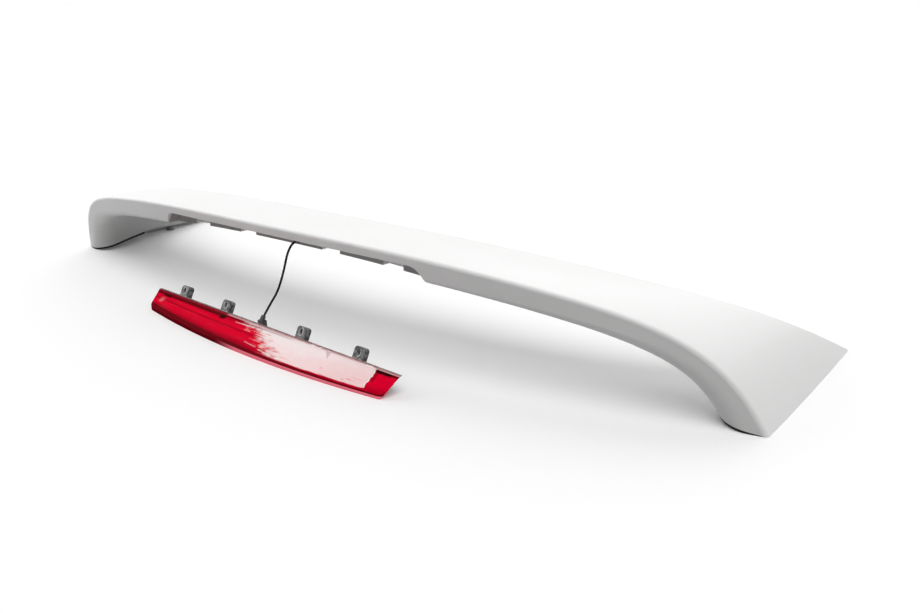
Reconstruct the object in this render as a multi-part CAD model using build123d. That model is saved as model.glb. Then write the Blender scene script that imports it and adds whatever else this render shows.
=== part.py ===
from build123d import *
import os
from math import atan, cos, pi, radians, sin, sqrt, tan

# Rear spoiler of a saloon car with its brake lamp hanging out on the cable. Sizes in millimetres.
# The origin is the centre of the four fixing inserts, on the plane that the feet stand on.
# X runs across the car, +Y towards its front and +Z up.

# Blade and legs
half_span = 676.0          # middle of the car to the rear outer corner of a foot
crease_height = 167.6      # top rear crease above the floor at the middle
crown_fall = 69.2          # slow fall of the crease towards the legs
crown_power = 2.5
leg_power = 13.2           # how sharply the blade turns down into the legs
crease_back = 237.0        # crease behind the fixing centre at the middle
crease_sweep = 100.0       # slow forward sweep of the crease towards the ends
crease_hook = 20.0         # further sweep of the crease down the legs
hook_power = 10.0
chord_middle = 148.0       # crease to leading edge at the middle
chord_flare = 182.0        # how much longer the foot is than the blade, before its tip is cut blunt
foot_front = 207.0         # blunt front tip of the foot
rear_height = 33.5         # rear face of the blade
rear_growth = 8.5          # extra width of the rear face at the foot
rear_lean = 8.0            # lower rear edge ahead of the crease at the middle
rear_twist = 16.0          # how far that lean turns back at the foot
nose_height = 22.0         # thickness of the rounded leading edge at the middle
nose_taper = 8.0           # how much thinner the leading edge is at the foot
nose_fall = 9.0            # leading edge below the crease at the middle
nose_lift = 14.0           # how far it rises again towards the foot
lift_power = 5.0
top_crown = 3.0            # bulge of the top face over its chord
foot_crown = -1.5          # how that bulge changes on the outer face of the foot
edge_radius = 5.0          # crease and lower rear edge of the blade
foot_round = 42.0          # how much rounder the lower rear edge gets down the leg
round_power = 5.0
round_reach = 0.5          # share of that by which the rear face widens to carry the rounding
section_shares = [0.0, 0.28, 0.5, 0.66, 0.78, 0.86, 0.92, 0.965, 1.0, 1.03]

# Feet and fixings
sole_angle_rear = 7.0      # the soles rise towards the middle, as the boot lid does
sole_angle_front = 24.0
sole_rear_y = -125.0       # where the sole has its rear angle, and where it reaches the front one
sole_front_y = 5.0
bolt_inset = 16.0          # fixing axis inside the rear outer corner of the foot
bolt_spacing = 120.0       # front to rear distance of the fixings
boss_radius = 8.0
boss_height = 14.0
insert_radius = 4.5
insert_length = 12.0
thread_radius = 2.5        # core of an M6 thread
insert_fit = 0.05
gasket_thickness = 4.0
gasket_inset = 6.0         # gasket inside the outer edge of the foot
gasket_front = -25.0       # the gasket ends here, under the rear half of the foot
gasket_lift = 0.3          # squeezed foam just clear of the floor
boss_clearance = 1.0       # gasket hole round a boss

# Lamp
lens_top_half = 268.0      # half length at the top of the back
lens_low_half = 240.0      # half length at the foot of the back
lens_front_half = 260.0    # half length at the front rim
lens_height = 26.0         # at the back
rim_height = 6.0           # at the front edge
end_depth = 25.5           # front to back at the ends
lens_bow = 20.5            # how much deeper the lens is at its middle
lens_wall = 2.0
lens_corner = 14.0         # rounded front corners
cut_margin = 4.0           # the cuts of the sloping face and of the ends reach this far past the lens
seal_thickness = 1.0
seal_inset = 0.3
plate_thickness = 2.5
frame_depth = 3.0          # locating frame of the housing inside the lens
frame_wall = 1.5
frame_clearance = 0.4
tab_positions = [-206.0, -99.0, 73.0, 187.0]
tab_width = 18.0
tab_rise = 17.5            # beyond the lens, along the tab
tab_lean = 28.0            # the tabs lean away from the lens
tab_corner = 5.0
tab_depth = 10.0           # front to back, over the wall round the edge of the tab
tab_wall = 2.5
slot_width = 5.5
slot_length = 8.5
slot_drop = 8.0            # slot centre below the top of the tab
back_rib_half = 226.0
back_rib_depth = 3.0
back_rib_wall = 2.0
back_rib_heights = [3.5, 12.5]
board_half = 236.0
board_height = 12.0
board_low = 6.0            # lower edge of the board above the floor
board_thickness = 1.6
pad_width = 6.0
pad_positions = [-220.0, -110.0, 0.0, 110.0, 220.0]
led_count = 14
led_pitch = 34.0
led_width = 5.0
led_height = 4.0
led_depth = 2.5
resistor_positions = [-136.0, -68.0, 68.0, 136.0]
resistor_width = 6.3
resistor_height = 3.2
resistor_depth = 0.6
reflector_wall = 1.0
reflector_gap = 0.4        # reflector clear of the lens and the diodes
reflector_half = 238.0

# Where the lamp lies
lamp_x = 6.0
lamp_y = -260.5            # back face of the lens at its middle
lamp_turn = -3.52

# Lamp recess in the trailing edge
lamp_clearance = 1.0       # lamp to the back wall of the recess
lamp_proud = 5.0           # the seated lens stands this far behind the crease
lip_height = 14.5          # strip of the rear face left above the recess at the middle
lip_half = 240.0
lip_end_drop = 4.4         # lip lower at its ends than at the middle
mouth_half = 276.0         # recess at the underside
mouth_slope = -0.3         # how the ends of the recess run out into the underside
pocket_clearance = 1.0     # left of a tab that is home in its pocket
pocket_slide = 16.0        # right of it, where the tab goes in before it slides home
pocket_depth = 12.0        # pocket ahead of the back wall
pocket_roof = 4.0          # pocket roof below the lip

# Cable, its grommet in the recess and its gland on the lamp
cable_radius = 1.65
bore_clearance = 0.1
grommet_x = 18.0
grommet_drop = 11.6        # grommet axis below the lip at the middle
flange_radius = 4.5
flange_thickness = 2.0
neck_radius = 3.4
neck_length = 8.0
neck_fit = 0.05
gland_x = -14.0            # along the lamp
gland_width = 11.0
gland_depth = 8.0
gland_low = 16.0
gland_top = 31.0
gland_round = 1.5
collar_tilt = 40.0         # the collar leans towards the spoiler
collar_radius = 3.4
collar_length = 6.0
collar_sink = 1.5          # collar rooted in the gland

corner_pull = 1 - sqrt(0.5)     # middle of a rounded corner, as a share of its radius on each leg
wall_y = -crease_back - lamp_proud + end_depth + lens_bow + lamp_clearance
lip_z = crease_height - lip_height
bolt_x = half_span - bolt_inset
board_face = -frame_depth       # front of the board, level with the frame of the housing
lamp_place = Pos(lamp_x, lamp_y, 0) * Rot(0, 0, lamp_turn)


def crease_z(x):
    share = abs(x) / half_span
    slow = crown_fall * share**crown_power
    return crease_height - slow - (crease_height - crown_fall) * share**leg_power


def crease_angle(x):
    share = abs(x) / half_span
    slow = crown_power * crown_fall * share ** (crown_power - 1)
    sharp = leg_power * (crease_height - crown_fall) * share ** (leg_power - 1)
    return atan((slow + sharp) / half_span) * (1 if x >= 0 else -1)


def blade_section(x):
    # One closed profile, square to the crease seen from behind: local X is the car's Y, local Y outwards
    share = abs(x) / half_span
    late = share**hook_power
    back = -crease_back + crease_sweep * share**2 + crease_hook * late
    chord = chord_middle + chord_flare * share**leg_power
    nose = nose_height - nose_taper * late
    rise = -nose_fall + nose_lift * share**lift_power
    rounding = foot_round * share**round_power
    lower_radius = edge_radius + rounding
    rear = rear_height + rear_growth * late + round_reach * rounding
    crown = top_crown + foot_crown * late
    crease = Vector(back, 0)
    lower = Vector(back + rear_lean - rear_twist * late, -rear)
    nose_top = Vector(back + chord - nose / 2, rise)
    nose_low = nose_top - Vector(0, nose)
    top_middle = (crease + nose_top) / 2 + Vector(0, crown)
    run = nose_top.X - crease.X
    top_start = Vector(1, (rise + 4 * crown) / run).normalized()
    top_end = Vector(1, (rise - 4 * crown) / run).normalized()
    up_rear = (crease - lower).normalized()
    along_under = (nose_low - lower).normalized()
    crease_turn = crease + (top_start - up_rear) * edge_radius * corner_pull
    lower_turn = lower + (along_under + up_rear) * lower_radius * corner_pull
    top = Spline(crease + top_start * edge_radius, top_middle, nose_top, tangents=[top_start, top_end])
    nose_arc = TangentArc(nose_top, nose_low, tangent=top_end)
    under = Spline(nose_low, lower + along_under * lower_radius, tangents=[nose_arc % 1, -along_under])
    lower_arc = ThreePointArc(under @ 1, lower_turn, lower + up_rear * lower_radius)
    rear_line = Line(lower_arc @ 1, crease - up_rear * edge_radius)
    crease_arc = ThreePointArc(rear_line @ 1, crease_turn, top @ 0)
    angle = crease_angle(x)
    plane = Plane(origin=(x, 0, crease_z(x)), x_dir=(0, 1, 0), z_dir=(cos(angle), 0, -sin(angle)))
    return plane * make_face([top, nose_arc, under, lower_arc, rear_line, crease_arc])


def blade_body():
    outwards = [share * half_span for share in section_shares]
    stations = [-x for x in reversed(outwards[1:])] + outwards
    blade = loft([blade_section(x) for x in stations])
    ahead = Box(4 * half_span, half_span, half_span, align=(Align.CENTER, Align.MIN, Align.CENTER))
    return blade - Pos(0, foot_front, 0) * ahead


def both_sides(shape):
    return [shape, mirror(shape, about=Plane.YZ)]


def fixing_points():
    return [(side * bolt_x, end * bolt_spacing / 2) for side in (-1, 1) for end in (-1, 1)]


def recess_cut():
    lip_end = (lip_half, lip_z - lip_end_drop)
    mouth = (mouth_half, crease_z(mouth_half) - rear_height - rear_lean)
    below = mouth[1] - rear_height
    lip = ThreePointArc((-lip_end[0], lip_end[1]), (0, lip_z), lip_end)
    right = Spline(lip_end, mouth, tangents=[lip % 1, (1, mouth_slope)])
    left = mirror(right, about=Plane.YZ)
    walls = Polyline(mouth, (mouth[0], below), (-mouth[0], below), (-mouth[0], mouth[1]))
    outline = make_face([lip, right, left, walls])
    cut = extrude(Plane.XZ.offset(-wall_y) * outline, amount=crease_back)
    pocket_width = pocket_clearance + tab_width + pocket_slide
    roof = lip_z - lip_end_drop - pocket_roof
    for x in tab_positions:
        start = x - tab_width / 2 - pocket_clearance
        sides = (Align.MIN, Align.CENTER, Align.MAX)
        pocket = Box(pocket_width, 2 * pocket_depth, roof - below, align=sides)
        cut += Pos(start, wall_y, roof) * pocket
    return cut


def grommet_place():
    # Local Z points out of the back wall, to the rear
    return Pos(grommet_x, wall_y, lip_z - grommet_drop) * Rot(90, 0, 0)


def upright(radius, height):
    return Cylinder(radius, height, align=(Align.CENTER, Align.CENTER, Align.MIN))


def sole_wedge():
    # The space under the right sole, from the outer edge of the foot inwards
    inner = half_span / 2
    sections = []
    for y, angle in ((-half_span, sole_angle_rear), (sole_rear_y, sole_angle_rear),
                     (sole_front_y, sole_angle_front), (half_span, sole_angle_front)):
        rise = inner * tan(radians(angle))
        plane = Plane(origin=(0, y, 0), x_dir=(1, 0, 0), z_dir=(0, -1, 0))
        sections.append(plane * make_face(Polyline((half_span, 0), (inner, rise), (inner, 0), close=True)))
    wedge = loft(sections, ruled=True)
    return wedge & Pos(half_span, 0, 0) * Box(half_span / 2, 2 * half_span, half_span / 8)


def wing_shell(blade, wedge):
    size = 4 * half_span
    below_floor = Box(size, size, size, align=(Align.CENTER, Align.CENTER, Align.MAX))
    wing = blade - below_floor
    for side in both_sides(wedge):
        wing -= side
    for x, y in fixing_points():
        wing += Pos(x, y, 0) * upright(boss_radius, boss_height)
    for x, y in fixing_points():
        wing -= Pos(x, y, 0) * upright(insert_radius + insert_fit, insert_length)
    wing -= recess_cut()
    wing -= grommet_place() * Rot(180, 0, 0) * upright(neck_radius + neck_fit, neck_length)
    return wing


def foot_inserts():
    bush = upright(insert_radius, insert_length) - upright(thread_radius, insert_length)
    return [Pos(x, y, 0) * bush for x, y in fixing_points()]


def foot_gasket(blade, wedge):
    # Foam on the slanted sole, squeezed thin along the outer edge where the foot stands
    gasket = (blade & wedge) - Pos(0, 0, -gasket_thickness) * wedge
    outside = Box(half_span, 2 * half_span, half_span, align=(Align.MIN, Align.CENTER, Align.CENTER))
    gasket -= Pos(half_span - gasket_inset, 0, 0) * outside
    ahead = Box(4 * half_span, half_span, half_span, align=(Align.CENTER, Align.MIN, Align.CENTER))
    gasket -= Pos(0, gasket_front, 0) * ahead
    gasket -= Box(4 * half_span, 2 * half_span, 2 * gasket_lift)
    for x, y in fixing_points():
        gasket -= Pos(x, y, 0) * upright(boss_radius + boss_clearance, boss_height * 2)
    return gasket


def lens_depth(x):
    return end_depth + lens_bow * (1 - (x / lens_front_half) ** 2)


def above_lens(inset):
    # The space over the sloping face, which runs from the top of the back down to the front rim
    reach = lens_top_half + cut_margin
    high = 2 * lens_height
    sections = []
    for x in (-reach, -reach / 2, 0, reach / 2, reach):
        depth = lens_depth(x)
        slope = (lens_height - rim_height) / depth
        crest = lens_height - inset * sqrt(1 + slope**2)
        front = -depth - cut_margin
        corners = [(front, crest + slope * front), (cut_margin, crest + slope * cut_margin),
                   (cut_margin, high), (front, high)]
        plane = Plane(origin=(x, 0, 0), x_dir=(0, 1, 0), z_dir=(1, 0, 0))
        sections.append(plane * make_face(Polyline(*corners, close=True)))
    return loft(sections)


def beyond_end(inset):
    # The space outside the slanted right end, whose plane takes in the three end corners of the lens
    top = Vector(lens_top_half, 0, lens_height)
    low = Vector(lens_low_half, 0, 0)
    front = Vector(lens_front_half, -end_depth, rim_height / 2)
    outwards = (front - top).cross(low - top).normalized()
    size = 4 * (lens_height + end_depth)
    block = Box(size, size, size, align=(Align.CENTER, Align.CENTER, Align.MIN))
    return Plane(origin=top - outwards * inset, z_dir=outwards) * block


def lens_body(inset, back):
    # The crescent body of the lens, or the hollow in it at an inset from its outer faces
    end_x = lens_front_half - inset
    end_y = inset - end_depth
    wide = lens_top_half - inset
    front = ThreePointArc((-end_x, end_y), (0, end_y - lens_bow), (end_x, end_y))
    sides = Polyline((end_x, end_y), (wide, 0), (wide, back + cut_margin), (-wide, back + cut_margin),
                     (-wide, 0), (-end_x, end_y))
    plan = make_face([front, sides])
    plan = fillet(plan.vertices().group_by(Axis.Y)[0], lens_corner - inset)
    body = extrude(Pos(0, 0, inset) * plan, amount=lens_height)
    behind = Box(4 * wide, 4 * cut_margin, 4 * lens_height, align=(Align.CENTER, Align.MIN, Align.CENTER))
    body -= Pos(0, back, 0) * behind
    body -= above_lens(inset)
    for end in both_sides(beyond_end(inset)):
        body -= end
    return body


def lamp_lens():
    return lens_body(0, 0) - lens_body(lens_wall, lens_wall)


def back_sheet(inset, front, back):
    # A sheet parallel to the back of the lamp, with slanted ends
    lean = (lens_top_half - lens_low_half) / lens_height
    pull = inset * sqrt(1 + lean**2)
    low = lens_low_half + lean * inset - pull
    high = lens_top_half - lean * inset - pull
    top = lens_height - inset
    outline = Polyline((-low, inset), (low, inset), (high, top), (-high, top), close=True)
    return extrude(Plane.XZ.offset(-front) * make_face(outline), amount=front - back)


def lens_seal():
    return back_sheet(seal_inset, 0, seal_thickness) - back_sheet(lens_wall, 0, seal_thickness)


def tab(x):
    # A slotted tab that leans back from the plate, with a wall round its edge and a rib below each side
    low = lens_height - plate_thickness
    height = tab_rise + plate_thickness
    outline = Pos(0, height / 2) * Rectangle(tab_width, height)
    outline = fillet(outline.vertices().group_by(Axis.Y)[-1], tab_corner)
    slot = Pos(0, height - slot_drop) * SlotOverall(slot_length, slot_width, rotation=90)
    edge = outline - offset(outline, amount=-tab_wall)
    leaf = extrude(Plane.XZ * (outline - slot), amount=-plate_thickness)
    leaf += extrude(Plane.XZ * edge, amount=-tab_depth)
    leaf = Rot(-tab_lean, 0, 0) * leaf
    back = Vector(cos(radians(tab_lean)), -sin(radians(tab_lean))) * tab_depth
    rib_low = back_rib_heights[0] - low
    corners = [(0, rib_low), (0, 0), (back.X, back.Y), (back.X, rib_low)]
    rib = extrude(Plane.YZ * make_face(Polyline(*corners, close=True)), amount=tab_wall)
    leaf += Pos(tab_width / 2 - tab_wall, 0, 0) * rib
    leaf += Pos(-tab_width / 2, 0, 0) * rib
    return Pos(x, seal_thickness, low) * leaf


def lamp_housing():
    back = seal_thickness + plate_thickness
    housing = back_sheet(0, seal_thickness, back)
    frame_inset = lens_wall + frame_clearance
    frame = back_sheet(frame_inset, -frame_depth, seal_thickness)
    frame -= back_sheet(frame_inset + frame_wall, -frame_depth, seal_thickness)
    housing += frame & lens_body(frame_inset, seal_thickness)
    board_middle = board_low + board_height / 2
    pad_front = board_thickness - frame_depth
    for x in pad_positions:
        pad = Box(pad_width, back - pad_front, board_height, align=(Align.CENTER, Align.MIN, Align.CENTER))
        housing += Pos(x, pad_front, board_middle) * pad
    for height in back_rib_heights:
        sides = (Align.CENTER, Align.MIN, Align.CENTER)
        rib = Box(2 * back_rib_half, back_rib_depth, back_rib_wall, align=sides)
        housing += Pos(0, back, height) * rib
    for x in tab_positions:
        housing += tab(x)
    return housing


def lamp_circuit_board():
    board = Box(2 * board_half, board_thickness, board_height, align=(Align.CENTER, Align.MIN, Align.MIN))
    return Pos(0, board_face, board_low) * board


def on_board(x, z, width, depth, height):
    block = Box(width, depth, height, align=(Align.CENTER, Align.MAX, Align.CENTER))
    return Pos(x, board_face, z) * block


def led_positions():
    return [(i - (led_count - 1) / 2) * led_pitch for i in range(led_count)]


def lamp_leds():
    middle = board_low + board_height / 2
    return [on_board(x, middle, led_width, led_depth, led_height) for x in led_positions()]


def lamp_resistors():
    high = board_low + board_height - resistor_height / 2 - board_thickness
    return [on_board(x, high, resistor_width, resistor_depth, resistor_height) for x in resistor_positions]


def lamp_reflector():
    inset = lens_wall + reflector_gap
    hollow = lens_body(inset, 0)
    back = board_face - led_depth - reflector_gap
    reach = 2 * (end_depth + lens_bow)
    floor = Box(2 * reflector_half, reach, reflector_wall, align=(Align.CENTER, Align.MAX, Align.MIN))
    tray = Pos(0, back, inset) * floor
    edges = [x - led_pitch / 2 for x in led_positions()] + [led_positions()[-1] + led_pitch / 2]
    for x in edges:
        wall = Box(reflector_wall, reach, lens_height, align=(Align.CENTER, Align.MAX, Align.MIN))
        tray += Pos(x, back, inset) * wall
    return hollow & tray


def lamp_cable_gland():
    back = seal_thickness + plate_thickness
    block = Box(gland_width, gland_depth, gland_top - gland_low, align=(Align.CENTER, Align.MIN, Align.MIN))
    block = fillet(block.edges().group_by(Axis.Z)[-1], gland_round)
    gland = Pos(gland_x, back, gland_low) * block
    root = Pos(gland_x, back + gland_depth / 2, gland_top) * Rot(-collar_tilt, 0, 0)
    return gland + root * Pos(0, 0, -collar_sink) * upright(collar_radius, collar_sink + collar_length)


def cable_grommet():
    flange = upright(flange_radius, flange_thickness)
    flange = fillet(flange.edges().sort_by(Axis.Z)[-1], flange_thickness / 2)
    neck = Rot(180, 0, 0) * upright(neck_radius, neck_length)
    bore = upright(cable_radius + bore_clearance, 2 * neck_length)
    return grommet_place() * (flange + neck - Pos(0, 0, -neck_length) * bore)


# Route of the cable: straight out of the grommet, down under its weight and into the collar of the lamp
cable_route = [
    (18.0, -189.0, 141.5),
    (18.0, -205.0, 141.5),
    (17.7, -218.0, 128.1),
    (11.2, -221.0, 101.1),
    (6.5, -230.7, 71.1),
    (-6.57, -236.75, 49.39),
    (-7.28, -248.30, 35.60),
]
cable_run_share = 0.45     # how much of the shorter run an arc may use


def cable_radii():
    points = [Vector(*point) for point in cable_route]
    radii = []
    for before, here, after in zip(points, points[1:], points[2:]):
        run_in = here - before
        run_out = after - here
        half_turn = radians(run_in.get_angle(run_out)) / 2
        radii.append(cable_run_share * min(run_in.length, run_out.length) / tan(half_turn))
    return radii


def lamp_cable():
    radii = cable_radii()
    print("cable radii", [round(radius, 1) for radius in radii])
    path = FilletPolyline(*cable_route, radius=radii)
    start = Plane(origin=path @ 0, z_dir=path % 0)
    cable = sweep(start * Circle(cable_radius), path=path)
    tube = pi * cable_radius**2 * path.length
    print("cable length", round(path.length, 2), "volume share", round(cable.volume / tube, 5))
    return cable


def solids_of(shape):
    if isinstance(shape, list):
        return [solid for item in shape for solid in item.solids()]
    return shape.solids()


def save(node, shape):
    solids = solids_of(shape)
    export_step(solids[0] if len(solids) == 1 else Compound(solids), f"parts/{node}.step")


def build():
    os.makedirs("parts", exist_ok=True)
    blade = blade_body()
    wedge = sole_wedge()
    right_gasket = foot_gasket(blade, wedge)
    nodes = {
        "wing_shell": wing_shell(blade, wedge),
        "foot_inserts": foot_inserts(),
        "foot_gasket_right": right_gasket,
        "foot_gasket_left": mirror(right_gasket, about=Plane.YZ),
        "cable_grommet": cable_grommet(),
        "lamp_cable": lamp_cable(),
    }
    lamp_nodes = {
        "lamp_lens": lamp_lens(),
        "lens_seal": lens_seal(),
        "lamp_housing": lamp_housing(),
        "lamp_reflector": lamp_reflector(),
        "lamp_circuit_board": lamp_circuit_board(),
        "lamp_leds": lamp_leds(),
        "lamp_resistors": lamp_resistors(),
        "lamp_cable_gland": lamp_cable_gland(),
    }
    for node, shape in lamp_nodes.items():
        items = shape if isinstance(shape, list) else [shape]
        nodes[node] = [lamp_place * item for item in items]
    for node, shape in nodes.items():
        save(node, shape)


build()
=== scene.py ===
import math

import bpy
from mathutils import Matrix, Vector


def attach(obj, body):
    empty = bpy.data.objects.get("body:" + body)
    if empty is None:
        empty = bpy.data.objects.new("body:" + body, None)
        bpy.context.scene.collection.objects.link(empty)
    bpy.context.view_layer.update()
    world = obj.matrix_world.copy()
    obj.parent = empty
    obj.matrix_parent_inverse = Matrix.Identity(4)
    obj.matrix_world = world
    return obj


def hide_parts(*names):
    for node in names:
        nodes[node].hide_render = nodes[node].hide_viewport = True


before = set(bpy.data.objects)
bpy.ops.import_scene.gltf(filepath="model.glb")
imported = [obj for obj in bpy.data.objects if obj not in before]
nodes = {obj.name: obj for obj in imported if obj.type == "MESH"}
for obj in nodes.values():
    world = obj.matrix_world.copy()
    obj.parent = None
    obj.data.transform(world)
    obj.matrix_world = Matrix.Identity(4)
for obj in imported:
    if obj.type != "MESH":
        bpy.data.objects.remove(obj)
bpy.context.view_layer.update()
print("frame loaded:", len(nodes), "nodes")


class Value:
    # a socket that takes part in plain sums
    def __init__(self, graph, socket):
        self.graph = graph
        self.socket = socket

    def operate(self, operation, *others):
        values = dict(enumerate((self, *others)))
        return self.graph.add("ShaderNodeMath", {"operation": operation}, values)

    def __add__(self, other):
        return self.operate("ADD", other)

    def __radd__(self, other):
        return self.operate("ADD", other)

    def __sub__(self, other):
        return self.operate("SUBTRACT", other)

    def __rsub__(self, other):
        return self.graph.add("ShaderNodeMath", {"operation": "SUBTRACT"}, {0: other, 1: self})

    def __mul__(self, other):
        return self.operate("MULTIPLY", other)

    def __rmul__(self, other):
        return self.operate("MULTIPLY", other)

    def __truediv__(self, other):
        return self.operate("DIVIDE", other)

    def __abs__(self):
        return self.operate("ABSOLUTE")

    def most(self, other):
        return self.operate("MAXIMUM", other)

    def step(self, low, high):
        # 0 below low and 1 above high, with a soft rise between
        return self.graph.add("ShaderNodeMapRange", {"interpolation_type": "SMOOTHSTEP"},
                              {0: self, 1: low, 2: high})

    def band(self, low, high, soft):
        # 1 between low and high, with soft edges
        return self.step(low - soft, low + soft) * (1 - self.step(high - soft, high + soft))


class Graph:
    # a node tree with one way to add a node to it
    def __init__(self, tree):
        self.tree = tree

    def add(self, kind, settings=None, values=None, out=0):
        node = self.tree.nodes.new(kind)
        for key, setting in (settings or {}).items():
            setattr(node, key, setting)
        for key, value in (values or {}).items():
            if isinstance(value, Value):
                self.tree.links.new(value.socket, node.inputs[key])
            else:
                node.inputs[key].default_value = value
        return Value(self, node.outputs[out])


class Paint(Graph):
    # a material or a world, with the shader that its sums feed
    def __init__(self, holder, shader="Principled BSDF"):
        holder.use_nodes = True
        super().__init__(holder.node_tree)
        self.holder = holder
        self.shader = self.tree.nodes[shader]

    def place(self, centre=(0, 0, 0), turn=0.0):
        # Object coordinates, moved to a centre and turned about Z
        spot = self.add("ShaderNodeTexCoord", out="Object")
        moved = self.add("ShaderNodeVectorMath", {"operation": "SUBTRACT"}, {0: spot, 1: centre})
        return self.add("ShaderNodeMapping", {"vector_type": "POINT"}, {0: moved, 2: (0, 0, -turn)})

    def split(self, vector):
        return [self.add("ShaderNodeSeparateXYZ", {}, {0: vector}, axis) for axis in range(3)]

    def stretch(self, vector, amounts):
        return self.add("ShaderNodeVectorMath", {"operation": "MULTIPLY"}, {0: vector, 1: amounts})

    def noise(self, vector, scale, detail=2.0, roughness=0.5):
        return self.add("ShaderNodeTexNoise", {}, {"Vector": vector, "Scale": scale, "Detail": detail,
                                                   "Roughness": roughness})

    def mix(self, factor, first, second):
        fields = {0: factor}
        for key, colour in ((6, first), (7, second)):
            fields[key] = colour if isinstance(colour, Value) else (*colour, 1.0)
        return self.add("ShaderNodeMix", {"data_type": "RGBA", "clamp_factor": True}, fields, 2)

    def bump(self, height, strength, distance):
        return self.add("ShaderNodeBump", {},
                        {"Height": height, "Strength": strength, "Distance": distance})

    def seen(self):
        # 1 on rays that show the background, straight to the camera or by way of a mirror or glass
        camera, glossy, through = (self.add("ShaderNodeLightPath", out=f"Is {kind} Ray")
                                   for kind in ("Camera", "Glossy", "Transmission"))
        return camera.most(glossy).most(through)

    def finish(self, **sockets):
        for key, value in sockets.items():
            target = self.shader.inputs[key.replace("_", " ")]
            if isinstance(value, Value):
                self.tree.links.new(value.socket, target)
            else:
                target.default_value = value
        return self.holder


def newPaint(name):
    return Paint(bpy.data.materials.new(name))


def dress(material, *names):
    for name in names:
        for holder in nodes[name].material_slots:
            holder.material = material


# The cable, on the same points as its CAD solid
cable = {
    "points": [
        (0.0180, -0.1890, 0.1415),
        (0.0180, -0.2050, 0.1415),
        (0.0177, -0.2180, 0.1281),
        (0.0112, -0.2210, 0.1011),
        (0.0065, -0.2307, 0.0711),
        (-0.00657, -0.23675, 0.04939),
        (-0.00728, -0.24830, 0.03560),
    ],
    "diameter": 0.0033,
    "length": 0.1362,
    "roundness": 5,            # bevel resolution
    "smoothness": 16,          # steps between two points
}


def makeCable():
    curve = bpy.data.curves.new("lampCable", "CURVE")
    curve.dimensions = "3D"
    curve.bevel_depth = 1.0    # times the radius of each point
    curve.bevel_resolution = cable["roundness"]
    curve.resolution_u = cable["smoothness"]
    curve.use_fill_caps = True
    spline = curve.splines.new("NURBS")
    spline.points.add(len(cable["points"]) - 1)
    for point, place in zip(spline.points, cable["points"]):
        point.co = (*place, 1.0)
        point.radius = cable["diameter"] / 2
    spline.order_u = 3
    spline.use_endpoint_u = True
    piece = bpy.data.objects.new("lampCable", curve)
    bpy.context.scene.collection.objects.link(piece)
    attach(piece, "root")
    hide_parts("lamp_cable")
    return piece


cablePiece = makeCable()
print("cable made")


# White paint of the wing, with painted shade in the lamp recess and on the fixing bosses under the feet
wing = {
    "white": (0.890, 0.890, 0.885),
    "shade": (0.860, 0.860, 0.850),
    "recessShade": (0.40, 0.40, 0.395),
    "roughness": 0.45,
    "halfSpan": 0.676,
    "creaseBack": -0.237,
    "creaseSweep": 0.100,
    "faceDepth": 0.0105,       # the rear face lies within this depth of the crease
    "wall": -0.1945,           # just ahead of the back wall of the recess
    "lip": 0.1533,             # just above the roof of the recess
    "mouth": 0.276,            # half length of the recess
    "bossShade": (0.27, 0.27, 0.265),
    "bossOut": 0.660,          # the bosses under the feet stand this far from the middle
    "bossAhead": 0.060,        # and this far ahead of the origin or behind it
    "bossRadius": 0.0083,
    "bossHeight": 0.0145,
}


def paintWing():
    paint = newPaint("whitePaint")
    spot = paint.place()
    along, across, height = paint.split(spot)
    cloud = paint.noise(spot, 7.0, 4.0)
    peel = paint.noise(spot, 520.0, 2.0)
    share = along / wing["halfSpan"]
    behind = across - wing["creaseBack"] - wing["creaseSweep"] * share * share
    recess = behind.step(wing["faceDepth"] - 0.001, wing["faceDepth"] + 0.001)
    recess = recess * (1 - across.step(wing["wall"], wing["wall"] + 0.0006))
    recess = recess * (1 - height.step(wing["lip"], wing["lip"] + 0.0006))
    recess = recess * (1 - abs(along).step(wing["mouth"] - 0.002, wing["mouth"]))
    colour = paint.mix(cloud.step(0.35, 0.75) * 0.5, wing["white"], wing["shade"])
    # painted shade: the lamp recess is painted a darker grey
    colour = paint.mix(recess * (0.9 + 0.2 * (cloud - 0.5)), colour, wing["recessShade"])
    # painted shade: the bosses under the feet are painted mid grey so they sink into the shadow under
    # the foot
    aside, apart = abs(along) - wing["bossOut"], abs(across) - wing["bossAhead"]
    reach = (aside * aside + apart * apart).operate("SQRT")
    boss = 1 - reach.step(wing["bossRadius"], wing["bossRadius"] + 0.0004)
    boss = boss * (1 - height.step(wing["bossHeight"], wing["bossHeight"] + 0.0004))
    colour = paint.mix(boss, colour, wing["bossShade"])
    roughness = wing["roughness"] + 0.08 * (cloud - 0.5) + 0.3 * recess
    return paint.finish(Base_Color=colour, Roughness=roughness,
                        Coat_Weight=0.12 * (1 - recess), Coat_Roughness=0.12,
                        Normal=paint.bump(peel, 0.06, 0.0004))


# Where the lamp lies and how it is turned
lamp = {"centre": (0.006, -0.2605, 0.0), "turn": math.radians(-3.52)}
lampPlace = Matrix.Translation(lamp["centre"]) @ Matrix.Rotation(lamp["turn"], 4, "Z")

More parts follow.
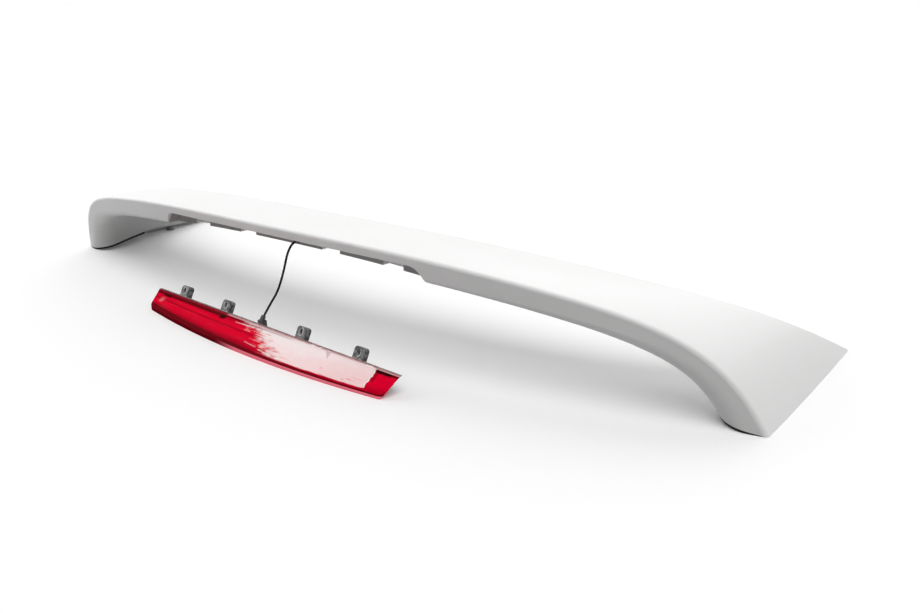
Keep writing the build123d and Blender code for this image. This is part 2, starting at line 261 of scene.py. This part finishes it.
# Red lens: along runs from its middle to the right, down from the back edge at 0 to the front rim at 1
lens = {
    "red": (0.88, 0.0, 0.028),
    "bright": (0.95, 0.03, 0.07),
    "crimson": (0.44, 0.0, 0.012),
    "deep": (0.13, 0.0, 0.004),
    "black": (0.015, 0.0, 0.001),
    "maroon": (0.24, 0.016, 0.030),
    "paleReflection": (0.97, 0.84, 0.83),
    "pinkHighlight": (0.97, 0.62, 0.62),
    "gleam": (0.98, 0.94, 0.93),
    "edge": (0.66, 0.38, 0.39),
    "rim": (0.92, 0.34, 0.40),
    "rimGlow": (0.26, 0.0, 0.02),     # light that the lens carries to its rim
    "halfLength": 0.260,
    "endDepth": 0.0255,
    "bow": 0.0205,
    "reflectionLeft": -0.022,        # the painted reflection starts here at the back edge and leans to the right from there
    "reflectionLean": 0.092,
    "reflectionRight": 0.2265,
    "reflectionLow": 0.905,
    "darkLine": (0.385, 0.455),
    "glow": (-0.242, 0.44),    # middle of the painted highlight at the left end
    "notchLeft": (0.130, 0.0486),      # side of a faint wedge at the back edge, and its lean
    "notchRight": (0.144, 0.0086),
    "paleEdge": (-0.088, -0.078),      # the back edge turns pale here
    "rimFall": 0.00827,        # the dark line over the rim falls by this for each metre
    "rimLine": (0.0058, 0.0080),
    "rimTop": (0.0054, 0.0062),
    "flutes": 150.0,
    "holes": [                 # left and right end, upper and lower edge
        (-0.246, -0.226, 0.15, 0.24),
        (-0.094, -0.081, 0.13, 0.26),
        (0.230, 0.256, 0.06, 0.20),
    ],
    "highlightStreaks": [             # painted highlight streaks: left and right end, and how far down each end lies
        (-0.004, 0.022, 0.70, 0.74),
        (0.030, 0.075, 0.79, 0.87),
        (-0.055, -0.002, 0.19, 0.15),
    ],
}


def paintLens():
    paint = newPaint("redLens")
    spot = paint.place(lamp["centre"], lamp["turn"])
    along, across, height = paint.split(spot)
    share = along / lens["halfLength"]
    depth = lens["endDepth"] + lens["bow"] * (1 - share * share)
    down = 0 - across / depth
    cloud = paint.noise(paint.stretch(spot, (9.0, 60.0, 60.0)), 1.0, 4.0)
    ragged = paint.noise(paint.stretch(spot, (55.0, 130.0, 130.0)), 1.0, 5.0, 0.62) - 0.5
    streaks = paint.noise(paint.stretch(spot, (14.0, 420.0, 420.0)), 1.0, 4.0, 0.6) - 0.5
    leftPart = 1 - along.step(-0.03, 0.06)

    # red body: lighter bands with a dark line between them, darker towards both edges
    red = paint.mix(cloud.step(0.3, 0.75) * 0.25, lens["red"], lens["crimson"])
    red = paint.mix((streaks + 0.3 * ragged).step(0.04, 0.2) * 0.5, red, lens["bright"])
    red = paint.mix((1 - down.step(0.15, 0.30)) * 0.5, red, lens["crimson"])
    darkLine = (down + 0.05 * streaks).band(*lens["darkLine"], 0.03)
    red = paint.mix(darkLine * leftPart * 0.7, red, lens["crimson"])
    low = (down + 0.2 * streaks).step(0.60, 0.98)
    red = paint.mix(low * (0.4 + 0.5 * leftPart), red, lens["deep"])
    # painted highlight: a pale upright streak near the left end
    glowSide = along - lens["glow"][0] + 0.012 * (down - lens["glow"][1])
    glow = (1 - abs(glowSide).step(0.002, 0.008)) * down.band(0.36, 0.58, 0.08)
    red = paint.mix(glow * 0.25, red, lens["pinkHighlight"])
    # a darker red strip just right of the pale stretch, upper half only
    darkStrip = along.band(lens["reflectionRight"] + 0.002, lens["reflectionRight"] + 0.0095, 0.0015)
    red = paint.mix(darkStrip * (1 - down.step(0.5, 0.65)) * 0.8, red, lens["crimson"])

    # painted reflection: a pale, streaky stretch with ragged edges
    leftEdge = along - lens["reflectionLean"] * down + 0.13 * ragged + 0.07 * streaks
    rightEdge = along + 0.010 * ragged
    lowEdge = down + 0.07 * streaks + 0.04 * ragged
    paleReflection = leftEdge.step(lens["reflectionLeft"] - 0.026, lens["reflectionLeft"] + 0.030)
    paleReflection = paleReflection * (1 - rightEdge.step(lens["reflectionRight"] - 0.0008, lens["reflectionRight"] + 0.0008))
    paleReflection = paleReflection * (1 - lowEdge.step(lens["reflectionLow"] - 0.02, lens["reflectionLow"] + 0.02))
    paleReflection = paleReflection * down.step(0.01, 0.04)
    flecks = (streaks + 0.6 * ragged).step(0.13, 0.19)
    flecks = flecks * lowEdge.band(lens["reflectionLow"] - 0.25, lens["reflectionLow"], 0.05)
    pinker = (2.2 * along + 0.5 * down + 0.5 * ragged).step(0.15, 0.85)
    pale = paint.mix((pinker + 0.5 * (cloud - 0.5)) * 0.85, lens["paleReflection"], lens["pinkHighlight"])
    notchLeft = along - lens["notchLeft"][0] - lens["notchLeft"][1] * down
    notchRight = lens["notchRight"][0] + lens["notchRight"][1] * down - along
    notch = notchLeft.step(0.0, 0.0015) * notchRight.step(0.0, 0.0015) * (1 - down.step(0.3, 0.36))
    pale = paint.mix(notch * 0.75, pale, lens["edge"])
    pale = paint.mix(flecks * 0.6, pale, lens["red"])
    body = paint.mix(paleReflection * 0.97, red, pale)
    # painted highlight: a bright line along the right edge of the painted reflection
    gleam = abs(rightEdge - lens["reflectionRight"] - 0.0012).step(0.0006, 0.0018)
    body = paint.mix((1 - gleam) * down.band(0.05, 0.88, 0.04), body, lens["gleam"])
    # painted highlight streaks across the painted reflection
    for start, end, high, low in lens["highlightStreaks"]:
        line = down - high - (along - start) * ((low - high) / (end - start))
        mark = (1 - abs(line + 0.03 * ragged).step(0.008, 0.024)) * along.band(start, end, 0.003)
        body = paint.mix(mark * (0.25 + ragged.step(-0.12, 0.08) * 0.6), body, lens["gleam"])

    # line of shade under the back edge, thick at the left end, with the clip holes seen through the lens
    width = 0.035 + 0.075 * (1 - along.step(-0.095, -0.075)) + 0.04 * along.step(0.226, 0.230)
    shade = down.step(0.06, 0.085) * (1 - (down - width).step(0.07, 0.105))
    # the painted shade is weaker under the painted reflection
    underReflection = along.step(-0.06, -0.02) * (1 - along.step(0.226, 0.230))
    shade = shade * (0.95 - 0.6 * underReflection - 0.3 * along.step(0.05, 0.08) * underReflection)
    body = paint.mix(shade, body, lens["deep"])
    for start, end, high, low in lens["holes"]:
        hole = (along + 0.006 * ragged).band(start, end, 0.002)
        hole = hole * (down + 0.1 * ragged).band(high, low, 0.02)
        body = paint.mix(hole * 0.95, body, lens["black"])
    backEdge = paint.mix(along.step(*lens["paleEdge"]), lens["maroon"], lens["edge"])
    # pale chips along the back edge in the colour of the painted reflection
    chips = (ragged + 0.5 * streaks).step(0.02, 0.16) * along.step(-0.06, 0.02)
    backEdge = paint.mix(chips, backEdge, lens["paleReflection"])
    body = paint.mix((1 - down.step(0.05, 0.07)) * 0.9, body, backEdge)

    # front rim under a dark line that falls towards the right; the rim's pink is painted light that the
    # lens carries to its thick edge
    line = height + lens["rimFall"] * along
    rim = (1 - line.step(*lens["rimTop"])) * along.step(-0.06, 0.0)
    body = paint.mix(line.band(*lens["rimLine"], 0.0005) * 0.85, body, lens["deep"])
    body = paint.mix(rim * 0.9, body, lens["rim"])
    body = paint.mix((1 - height.step(0.0006, 0.0014)) * 0.6, body, lens["crimson"])
    flute = (down * lens["flutes"]).operate("SINE")
    return paint.finish(Base_Color=body, Roughness=0.14 + 0.2 * paleReflection, Specular_IOR_Level=0.0,
                        Coat_Weight=0.02 + 0.9 * paleReflection, Coat_Roughness=0.08,
                        Emission_Color=paint.mix(rim, (0, 0, 0), lens["rimGlow"]),
                        Emission_Strength=1.0,
                        Normal=paint.bump(flute + 3.0 * streaks, 0.12, 0.0003))


# Dark moulded plastic of the housing, mottled with dust and a painted sheen, with a painted highlight
# round each tab slot, and of the gland
darkPlastic = {
    "dark": (0.016, 0.018, 0.019),
    "housingDustAndSheen": (0.19, 0.195, 0.195),
    "glandWorn": (0.035, 0.036, 0.037),
    "edge": (0.46, 0.30, 0.30),
    "edgeHeights": (0.0252, 0.0270),   # pale line along the top of the housing
    "edgeDepth": 0.0032,
    "ringHighlight": (0.52, 0.53, 0.53),
    "tabs": [-0.206, -0.099, 0.073, 0.187],
    "slotHeight": 0.0344,
    "slotShare": 0.75,         # the slots are taller than they are wide
    "slotRing": (0.0030, 0.0045),
    "tabFoot": (0.0255, 0.0280),       # the mottling of dust and painted sheen is stronger above this
}


def paintDarkPlastic(name, dustAndSheen, tabs=()):
    paint = newPaint(name)
    spot = paint.place(lamp["centre"], lamp["turn"])
    along, across, height = paint.split(spot)
    cloud = paint.noise(spot, 160.0, 4.0, 0.6)
    grain = paint.noise(spot, 1500.0, 2.0)
    mottle = cloud.step(0.38, 0.62) * (0.25 + 0.75 * height.step(*darkPlastic["tabFoot"]))
    colour = paint.mix(mottle, darkPlastic["dark"], dustAndSheen)
    # painted highlight: a pale ring round each tab slot, lighter on one side
    for tab in tabs:
        side = along - tab
        lift = (height - darkPlastic["slotHeight"]) * darkPlastic["slotShare"]
        reach = (side * side + lift * lift).operate("SQRT")
        ringHighlight = reach.band(*darkPlastic["slotRing"], 0.0005)
        ringHighlight = ringHighlight * (cloud + 30 * side - 30 * lift).step(0.25, 0.6)
        colour = paint.mix(ringHighlight * 0.8, colour, darkPlastic["ringHighlight"])
    topEdge = height.band(*darkPlastic["edgeHeights"], 0.0003)
    topEdge = topEdge * (1 - across.step(darkPlastic["edgeDepth"], darkPlastic["edgeDepth"] + 0.0006))
    colour = paint.mix(topEdge * (0.3 + 0.6 * cloud.step(0.38, 0.6)), colour, darkPlastic["edge"])
    return paint.finish(Base_Color=colour, Roughness=0.38 + 0.2 * (grain - 0.5),
                        Normal=paint.bump(grain + cloud, 0.3, 0.0003))


# Foam and rubber: dark and light tone, scale of the grain and strength of its relief
rubber = {
    "foam": ((0.008, 0.008, 0.008), (0.03, 0.03, 0.03), 700.0, 0.6),
    "grommetRubber": ((0.01, 0.01, 0.01), (0.03, 0.03, 0.03), 900.0, 0.2),
    "cableJacket": ((0.003, 0.003, 0.003), (0.010, 0.010, 0.010), 500.0, 0.1),
}


def paintRubber(name):
    paint = newPaint(name)
    dark, light, scale, strength = rubber[name]
    grain = paint.noise(paint.place(), scale, 3.0)
    colour = paint.mix(grain.step(0.35, 0.75), dark, light)
    return paint.finish(Base_Color=colour, Roughness=0.55 + 0.3 * (grain - 0.5),
                        Specular_IOR_Level=0.15, Normal=paint.bump(grain, strength, 0.0003))


# Brass of the foot inserts, with its turned rings
brass = {"bright": (0.74, 0.52, 0.20), "dull": (0.42, 0.29, 0.12), "thread": 0.001}


def paintBrass():
    paint = newPaint("turnedBrass")
    spot = paint.place()
    height = paint.split(spot)[2]
    turn = (height * (2 * math.pi / brass["thread"])).operate("SINE")
    cloud = paint.noise(spot, 380.0, 4.0)
    colour = paint.mix(cloud.step(0.4, 0.7), brass["bright"], brass["dull"])
    return paint.finish(Base_Color=colour, Metallic=1.0, Roughness=0.28 + 0.2 * (cloud - 0.5),
                        Normal=paint.bump(turn, 0.4, 0.0002))


# Pieces inside the lamp
inside = {
    "silver": (0.82, 0.82, 0.83),
    "smoke": (0.55, 0.55, 0.57),
    "board": (0.014, 0.11, 0.045),
    "copper": (0.05, 0.22, 0.09),
    "tin": (0.60, 0.60, 0.58),
    "amber": (0.80, 0.62, 0.18),
    "clear": (0.86, 0.83, 0.72),
    "carbon": (0.012, 0.012, 0.014),
    "middle": 0.012,           # height of the row of diodes
    "trackGap": 0.0035,        # a copper track runs this far above it and below it
    "padHalf": 0.0032,
    "resistorPitch": 0.068,
    "resistorCap": 0.0022,     # metal ends start this far from the middle of a resistor
    "diodePitch": 0.034,
    "chipHalf": 0.0010,
}


def paintReflector():
    paint = newPaint("silverTray")
    cloud = paint.noise(paint.place(), 90.0, 4.0)
    colour = paint.mix(cloud.step(0.4, 0.75), inside["silver"], inside["smoke"])
    return paint.finish(Base_Color=colour, Metallic=0.9, Roughness=0.16 + 0.2 * (cloud - 0.4))


def paintBoard():
    paint = newPaint("greenBoard")
    spot = paint.place(lamp["centre"], lamp["turn"])
    along, height = paint.split(spot)[::2]
    fromRow = abs(height - inside["middle"])
    track = 1 - abs(fromRow - inside["trackGap"]).step(0.0006, 0.0008)
    away = along.operate("PINGPONG", inside["diodePitch"] / 2)
    pad = 1 - away.step(inside["padHalf"], inside["padHalf"] + 0.0002)
    pad = pad * (1 - fromRow.step(0.0013, 0.0017))
    grain = paint.noise(spot, 1200.0, 2.0)
    colour = paint.mix(track.most(pad), inside["board"], inside["copper"])
    return paint.finish(Base_Color=colour, Roughness=0.35 + 0.2 * (grain - 0.5),
                        Normal=paint.bump(track + 0.2 * grain, 0.3, 0.0001))


def paintDiodes():
    paint = newPaint("clearDiode")
    spot = paint.place(lamp["centre"], lamp["turn"])
    along, height = paint.split(spot)[::2]
    away = (along + inside["diodePitch"] / 2).operate("PINGPONG", inside["diodePitch"] / 2)
    rise = abs(height - inside["middle"])
    chip = 1 - away.most(rise).step(inside["chipHalf"], inside["chipHalf"] + 0.0004)
    cloud = paint.noise(spot, 900.0, 2.0)
    colour = paint.mix(chip, inside["clear"], inside["amber"])
    return paint.finish(Base_Color=colour, Roughness=0.15 + 0.2 * cloud)


def paintResistors():
    paint = newPaint("tinnedCarbon")
    spot = paint.place(lamp["centre"], lamp["turn"])
    away = paint.split(spot)[0].operate("PINGPONG", inside["resistorPitch"] / 2)
    cap = away.step(inside["resistorCap"], inside["resistorCap"] + 0.0002)
    grain = paint.noise(spot, 1500.0, 2.0)
    colour = paint.mix(cap, inside["carbon"], inside["tin"])
    return paint.finish(Base_Color=colour, Metallic=cap, Roughness=0.4 + 0.2 * (grain - 0.5))


glandMaterial = paintDarkPlastic("glandPlastic", darkPlastic["glandWorn"])
housingMaterial = paintDarkPlastic("housingPlastic", darkPlastic["housingDustAndSheen"], darkPlastic["tabs"])
diodeMaterial = paintDiodes()
dress(paintWing(), "wing_shell")
dress(paintLens(), "lamp_lens")
dress(housingMaterial, "lamp_housing")
dress(glandMaterial, "lamp_cable_gland")
dress(paintRubber("foam"), "foot_gasket_left", "foot_gasket_right")
dress(paintRubber("grommetRubber"), "cable_grommet", "lens_seal")
dress(paintBrass(), "foot_inserts")
dress(paintReflector(), "lamp_reflector")
dress(paintBoard(), "lamp_circuit_board")
dress(diodeMaterial, "lamp_leds")
dress(paintResistors(), "lamp_resistors")
cablePiece.data.materials.append(paintRubber("cableJacket"))
print("materials made")


def newTree(name, sizes):
    # an empty tree with one named input for each size
    tree = bpy.data.node_groups.new(name, "GeometryNodeTree")
    kinds = {int: "NodeSocketInt", float: "NodeSocketFloat", tuple: "NodeSocketVector"}
    for key, size in sizes.items():
        tree.interface.new_socket(key, in_out="INPUT", socket_type=kinds[type(size)])
    tree.interface.new_socket("Geometry", in_out="OUTPUT", socket_type="NodeSocketGeometry")
    graph = Graph(tree)
    entry = tree.nodes.new("NodeGroupInput")
    return graph, {key: Value(graph, entry.outputs[key]) for key in sizes}


def closeTree(graph, instances, material):
    real = graph.add("GeometryNodeRealizeInstances", {}, {0: instances})
    painted = graph.add("GeometryNodeSetMaterial", {}, {0: real, "Material": material})
    outlet = graph.tree.nodes.new("NodeGroupOutput")
    graph.tree.links.new(painted.socket, outlet.inputs[0])
    return graph.tree


def growPiece(name, tree, sizes):
    # runs a tree once and keeps what it makes as a plain mesh
    piece = bpy.data.objects.new(name, bpy.data.meshes.new(name))
    bpy.context.scene.collection.objects.link(piece)
    modifier = piece.modifiers.new("grow", "NODES")
    modifier.node_group = tree
    for item in tree.interface.items_tree:
        if item.in_out == "INPUT":
            modifier[item.identifier] = sizes[item.name]
    grown = piece.evaluated_get(bpy.context.evaluated_depsgraph_get())
    made = bpy.data.meshes.new_from_object(grown)
    piece.modifiers.remove(modifier)
    piece.data = made
    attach(piece, "root")
    print(name, "made:", len(made.polygons), "faces")


# Ribs round the collar of the gland
collarRibs = {
    "count": 3,
    "root": (-0.014, 0.0075, 0.031),   # foot of the collar, on the lamp
    "tilt": math.radians(40),
    "first": 0.0016,           # lowest rib above that foot
    "pitch": 0.0017,
    "radius": 0.0034,
    "thickness": 0.00045,
    "ringPoints": 40,
    "wirePoints": 10,
}


def makeCollarRibs():
    axis = lampPlace.to_3x3() @ Vector((0, math.sin(collarRibs["tilt"]), math.cos(collarRibs["tilt"])))
    start = lampPlace @ Vector(collarRibs["root"]) + axis * collarRibs["first"]
    sizes = {
        "Count": collarRibs["count"],
        "Start": tuple(start),
        "Step": tuple(axis * collarRibs["pitch"]),
        "Radius": collarRibs["radius"],
        "Thickness": collarRibs["thickness"],
    }
    graph, size = newTree("collarRibs", sizes)
    line = graph.add("GeometryNodeMeshLine", {"mode": "OFFSET"},
                     {"Count": size["Count"], "Start Location": size["Start"], "Offset": size["Step"]})
    ring = graph.add("GeometryNodeCurvePrimitiveCircle", {},
                     {"Resolution": collarRibs["ringPoints"], "Radius": size["Radius"]})
    wire = graph.add("GeometryNodeCurvePrimitiveCircle", {},
                     {"Resolution": collarRibs["wirePoints"], "Radius": size["Thickness"]})
    rib = graph.add("GeometryNodeCurveToMesh", {}, {"Curve": ring, "Profile Curve": wire})
    lean = graph.add("FunctionNodeAlignRotationToVector", {"axis": "Z"}, {"Vector": size["Step"]})
    ribs = graph.add("GeometryNodeInstanceOnPoints", {},
                     {"Points": line, "Instance": rib, "Rotation": lean})
    growPiece("collarRibs", closeTree(graph, ribs, glandMaterial), sizes)


# Domes on the fronts of the diodes
diodeDomes = {"count": 14, "front": -0.0055, "radius": 0.0016, "segments": 16, "rings": 10}


def makeDiodeDomes():
    first = -(diodeDomes["count"] - 1) / 2 * inside["diodePitch"]
    sizes = {
        "Count": diodeDomes["count"],
        "Start": tuple(lampPlace @ Vector((first, diodeDomes["front"], inside["middle"]))),
        "Step": tuple(lampPlace.to_3x3() @ Vector((inside["diodePitch"], 0, 0))),
        "Radius": diodeDomes["radius"],
    }
    graph, size = newTree("diodeDomes", sizes)
    line = graph.add("GeometryNodeMeshLine", {"mode": "OFFSET"},
                     {"Count": size["Count"], "Start Location": size["Start"], "Offset": size["Step"]})
    dome = graph.add("GeometryNodeMeshUVSphere", {}, {
        "Segments": diodeDomes["segments"], "Rings": diodeDomes["rings"], "Radius": size["Radius"]})
    domes = graph.add("GeometryNodeInstanceOnPoints", {}, {"Points": line, "Instance": dome})
    growPiece("diodeDomes", closeTree(graph, domes, diodeMaterial), sizes)


makeCollarRibs()
makeDiodeDomes()


# Floor, lights and camera
studio = {
    "floorSize": 400.0,
    "floorSeen": (0.98, 0.98, 0.98),
    "floorBounce": (0.40, 0.40, 0.40),
    "floorGlow": (0.09, 0.09, 0.09),   # lift of the floor towards white, in what is seen of it alone
    "suns": {                  # direction towards the light, its spread in degrees and its strength
        "key": ((0.4, -0.4, 1.0), 50, 1.58),
        "leftPanel": ((-1, -0.15, 0.45), 60, 1.11),
        "frontPanel": ((0, 1, 1), 70, 0.95),
        "farPanel": ((-0.7, 0.7, 0.9), 60, 0.31),
        "nearPanel": ((0.7, -0.7, 1.0), 60, 0.28),
        "rightPanel": ((1, 0, 0.4), 60, 0.18),
    },
    "camera": (0.91322, -1.01468, 0.46011),
    "azimuth": math.radians(36.63),
    "elevation": math.radians(19.41),
    "focalLength": 33.77,
    "sensor": 36.0,
    "clip": (0.05, 500.0),
}


def link(name, data):
    item = bpy.data.objects.new(name, data)
    bpy.context.scene.collection.objects.link(item)
    return item


def makeFloor():
    half = studio["floorSize"] / 2
    mesh = bpy.data.meshes.new("floor")
    corners = [(-half, -half, 0), (half, -half, 0), (half, half, 0), (-half, half, 0)]
    mesh.from_pydata(corners, [], [(0, 1, 2, 3)])
    paint = newPaint("floorPaint")
    colour = paint.mix(paint.seen(), studio["floorBounce"], studio["floorSeen"])
    glow = paint.mix(paint.seen(), (0, 0, 0), studio["floorGlow"])
    mesh.materials.append(paint.finish(Base_Color=colour, Roughness=1.0, Specular_IOR_Level=0.0,
                                       Emission_Color=glow, Emission_Strength=1.0))
    link("floor", mesh)


def makeLights():
    for name, (towards, spread, strength) in studio["suns"].items():
        data = bpy.data.lights.new(name, "SUN")
        data.energy = strength
        data.angle = math.radians(spread)
        link(name, data).rotation_euler = Vector(towards).to_track_quat("Z", "Y").to_euler()
    world = bpy.data.worlds.new("studio")
    bpy.context.scene.world = world
    paint = Paint(world, "Background")
    paint.finish(Color=(1, 1, 1, 1), Strength=paint.seen())


def makeCamera():
    data = bpy.data.cameras.new("camera")
    data.sensor_width = studio["sensor"]
    data.lens = studio["focalLength"]
    data.clip_start, data.clip_end = studio["clip"]
    camera = link("camera", data)
    flat = math.cos(studio["elevation"])
    sideways = math.sin(studio["azimuth"]) * flat
    back = Vector((sideways, -math.cos(studio["azimuth"]) * flat, math.sin(studio["elevation"])))
    camera.location = studio["camera"]
    camera.rotation_euler = (-back).to_track_quat("-Z", "Y").to_euler()
    bpy.context.scene.camera = camera


makeFloor()
makeLights()
makeCamera()
bpy.context.scene.view_settings.view_transform = "Standard"
print("studio and camera made")
